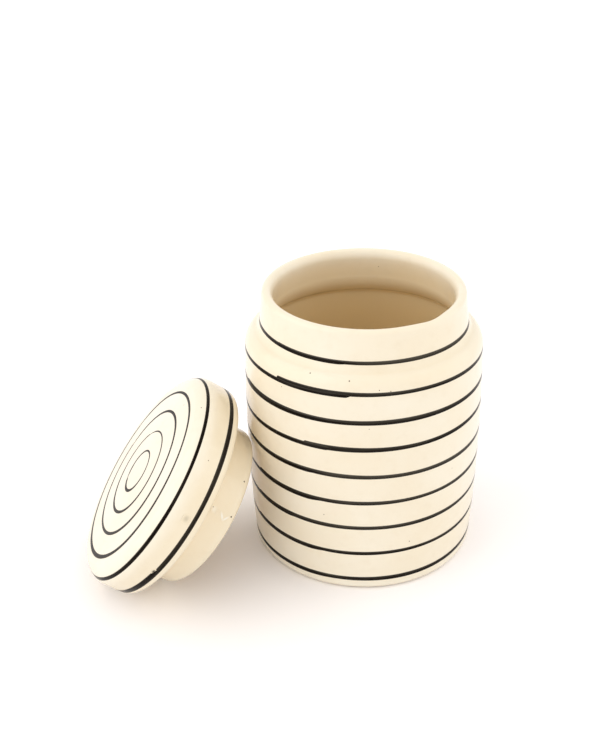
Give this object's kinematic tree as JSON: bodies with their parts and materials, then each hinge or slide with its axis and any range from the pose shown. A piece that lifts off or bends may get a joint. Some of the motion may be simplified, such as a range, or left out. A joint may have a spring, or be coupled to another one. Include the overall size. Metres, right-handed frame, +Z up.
{
  "type": "storage jar",
  "caption": "Round glazed ceramic storage jar with a rounded shoulder and short neck, and a thick lift-off lid that leans against its side; thin painted lines ring both.",
  "frame": {"origin": "on the jar's axis, at the flat base that it stands on", "axes": "+Z up along the jar's axis; the lid leans against the -X side, and the jar is usually seen from the -Y side"},
  "size_m": [0.1733, 0.1112, 0.1174],
  "materials": {
    "jar_glaze": "glossy cream glaze with black painted lines",
    "lid_glaze": "glossy cream glaze with black painted lines"
  },
  "bodies": {
    "jar": {"jar_body": "jar_glaze"},
    "lid": {"lid": "lid_glaze"}
  },
  "joints": [
    {"name": "lid_lift", "type": "slide", "parent": "jar", "child": "lid", "axis": [-0.7869, 0, 0.617], "range_m": [0, 0.12]}
  ]
}
